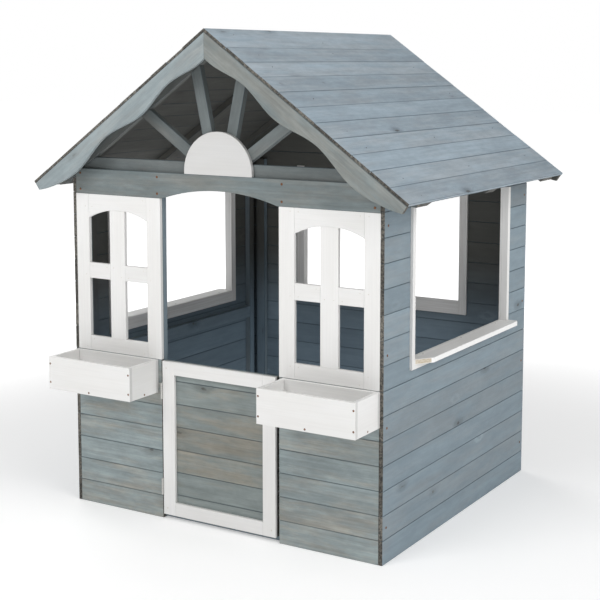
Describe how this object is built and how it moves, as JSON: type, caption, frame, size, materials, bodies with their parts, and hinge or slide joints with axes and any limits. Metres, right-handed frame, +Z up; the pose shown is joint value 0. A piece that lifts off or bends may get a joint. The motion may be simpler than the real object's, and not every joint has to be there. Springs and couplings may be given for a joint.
{
  "type": "playhouse",
  "caption": "Timber playhouse with a gable roof, an outward-opening half door, serving-hatch openings with counter shelves and planter boxes under the front windows.",
  "frame": {"origin": "on the ground, under the centre of the whole outline", "axes": "+Z up, -Y out of the front with the door, +X to the right of a person who looks at the front"},
  "size_m": [1.31, 1.22, 1.492],
  "materials": {
    "blue_grey_wood": "matt blue-grey stain, grain showing",
    "white_wood": "satin white paint",
    "raw_wood": "unpainted, sawn, slightly grey",
    "screw_steel": "yellow zinc, dulled",
    "hinge_steel": "zinc",
    "black_plastic": "matt"
  },
  "bodies": {
    "house": {"back_barge_boards": "blue_grey_wood", "back_gable_planks": "blue_grey_wood", "back_rafters": "blue_grey_wood", "back_wall_frame": "blue_grey_wood", "back_wall_planks": "blue_grey_wood", "back_window_casing": "raw_wood", "back_window_jambs": "white_wood", "door_catch": "black_plastic", "front_barge_boards": "blue_grey_wood", "front_left_planks": "blue_grey_wood", "front_posts": "blue_grey_wood", "front_rafters": "blue_grey_wood", "front_rails": "blue_grey_wood", "front_right_planks": "blue_grey_wood", "gable_chord": "blue_grey_wood", "gable_rays": "blue_grey_wood", "half_round_panel": "white_wood", "header_board": "blue_grey_wood", "hinge_pins": "hinge_steel", "left_counter_shelf": "white_wood", "left_hatch_casing": "raw_wood", "left_hatch_jambs": "white_wood", "left_hatch_sill": "white_wood", "left_planter_ends": "white_wood", "left_planter_floor": "white_wood", "left_planter_long_boards": "white_wood", "left_roof_planks": "blue_grey_wood", "left_sill_plank": "blue_grey_wood", "left_wall_frame": "blue_grey_wood", "left_wall_planks": "blue_grey_wood", "left_window_bars": "white_wood", "left_window_head": "white_wood", "left_window_stiles": "white_wood", "planter_screws": "screw_steel", "post_hinge_leaves": "hinge_steel", "right_counter_shelf": "white_wood", "right_hatch_casing": "raw_wood", "right_hatch_jambs": "white_wood", "right_hatch_sill": "white_wood", "right_planter_ends": "white_wood", "right_planter_floor": "white_wood", "right_planter_long_boards": "white_wood", "right_roof_planks": "blue_grey_wood", "right_sill_plank": "blue_grey_wood", "right_wall_frame": "blue_grey_wood", "right_wall_planks": "blue_grey_wood", "right_window_bars": "white_wood", "right_window_head": "white_wood", "right_window_stiles": "white_wood", "roof_battens": "blue_grey_wood", "threshold_rail": "blue_grey_wood", "wall_screws": "screw_steel"},
    "door": {"door_planks": "blue_grey_wood", "door_stiles": "white_wood", "door_rails": "white_wood", "door_hinge_leaves": "hinge_steel", "catch_strike": "hinge_steel", "door_screws": "screw_steel"}
  },
  "joints": [
    {"name": "door_hinge", "type": "hinge", "parent": "house", "child": "door", "pos_m": [-0.2085, -0.476, 0.25], "axis": [0, 0, -1], "range_deg": [0, 95]}
  ]
}
